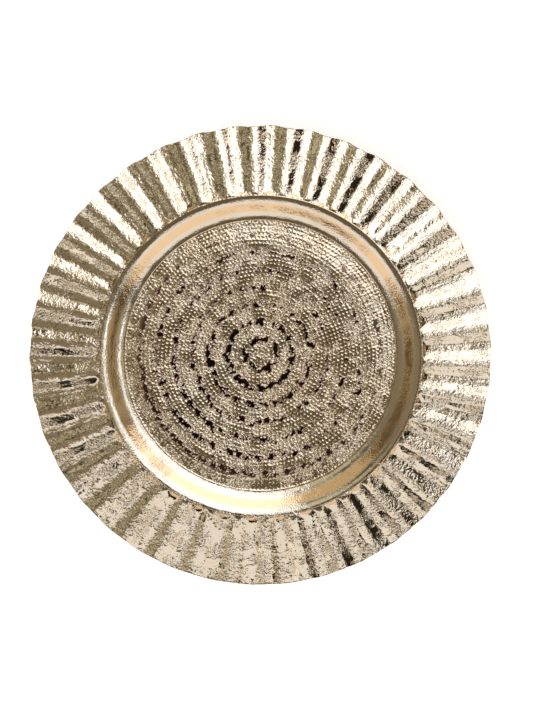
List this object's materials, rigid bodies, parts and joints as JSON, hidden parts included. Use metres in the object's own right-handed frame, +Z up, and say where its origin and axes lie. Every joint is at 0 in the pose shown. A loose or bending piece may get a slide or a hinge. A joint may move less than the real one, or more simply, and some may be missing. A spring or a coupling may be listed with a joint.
{
  "type": "fluted charger tray",
  "caption": "Round brass tray with a fluted rim and a raised embossed floor whose smooth shoulder falls to a groove, on a padded foot ring.",
  "frame": {"origin": "centre of the plane the tray stands on, the underside of its felt pads", "axes": "+Z up along the tray's axis; +X and +Y are level, and the tray looks the same along both"},
  "size_m": [0.33, 0.33, 0.0271],
  "materials": {
    "rim_brass": "bright pale brass, fine grained",
    "pan_brass": "bright pale brass, smooth",
    "floor_brass": "bright pale brass, embossed with rippled rings and a fine dimple lattice",
    "foot_brass": "plain satin brass",
    "felt": "pressed black felt"
  },
  "bodies": {
    "root": {"fluted_rim": "rim_brass", "centre_pan": "pan_brass", "floor_disc": "floor_brass", "foot_ring": "foot_brass", "felt_pad_1": "felt", "felt_pad_2": "felt", "felt_pad_3": "felt", "felt_pad_4": "felt"}
  },
  "joints": []
}
